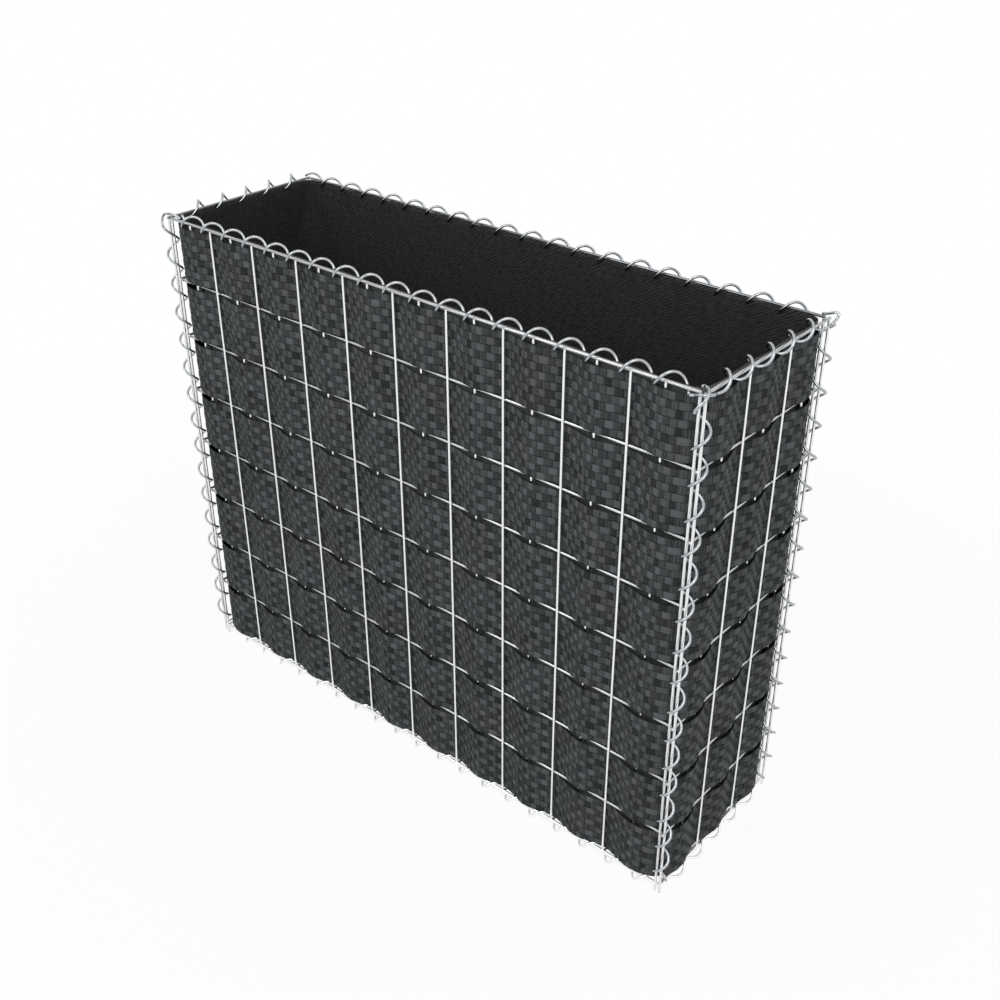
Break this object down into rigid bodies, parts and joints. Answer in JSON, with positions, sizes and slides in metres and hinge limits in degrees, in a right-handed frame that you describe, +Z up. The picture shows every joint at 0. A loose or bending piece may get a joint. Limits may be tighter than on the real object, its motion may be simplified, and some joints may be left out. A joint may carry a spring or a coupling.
{
  "type": "gabion planter",
  "caption": "Open-topped oblong wire-mesh planter with woven dark rattan strips, spiral edge binders and a black fabric liner, to be filled as a raised bed or screen.",
  "frame": {"origin": "on the ground, at the middle of the base", "axes": "+X along the front, -Y out of the front, +Z up"},
  "size_m": [1.0326, 0.323, 0.8339],
  "materials": {
    "zinc_wire": "bright galvanised",
    "binder_wire": "galvanised",
    "rattan": "woven flat tape, anthracite",
    "liner_fabric": "black woven geotextile"
  },
  "bodies": {
    "root": {"front_mesh": "zinc_wire", "back_mesh": "zinc_wire", "left_mesh": "zinc_wire", "right_mesh": "zinc_wire", "bottom_mesh": "zinc_wire", "front_top_spiral": "binder_wire", "back_top_spiral": "binder_wire", "left_top_spiral": "binder_wire", "right_top_spiral": "binder_wire", "front_left_spiral": "binder_wire", "front_right_spiral": "binder_wire", "back_left_spiral": "binder_wire", "back_right_spiral": "binder_wire", "front_base_spiral": "binder_wire", "back_base_spiral": "binder_wire", "left_base_spiral": "binder_wire", "right_base_spiral": "binder_wire", "rattan_strip_1": "rattan", "rattan_strip_2": "rattan", "rattan_strip_3": "rattan", "rattan_strip_4": "rattan", "rattan_strip_5": "rattan", "rattan_strip_6": "rattan", "rattan_strip_7": "rattan", "rattan_strip_8": "rattan", "liner": "liner_fabric"}
  },
  "joints": []
}
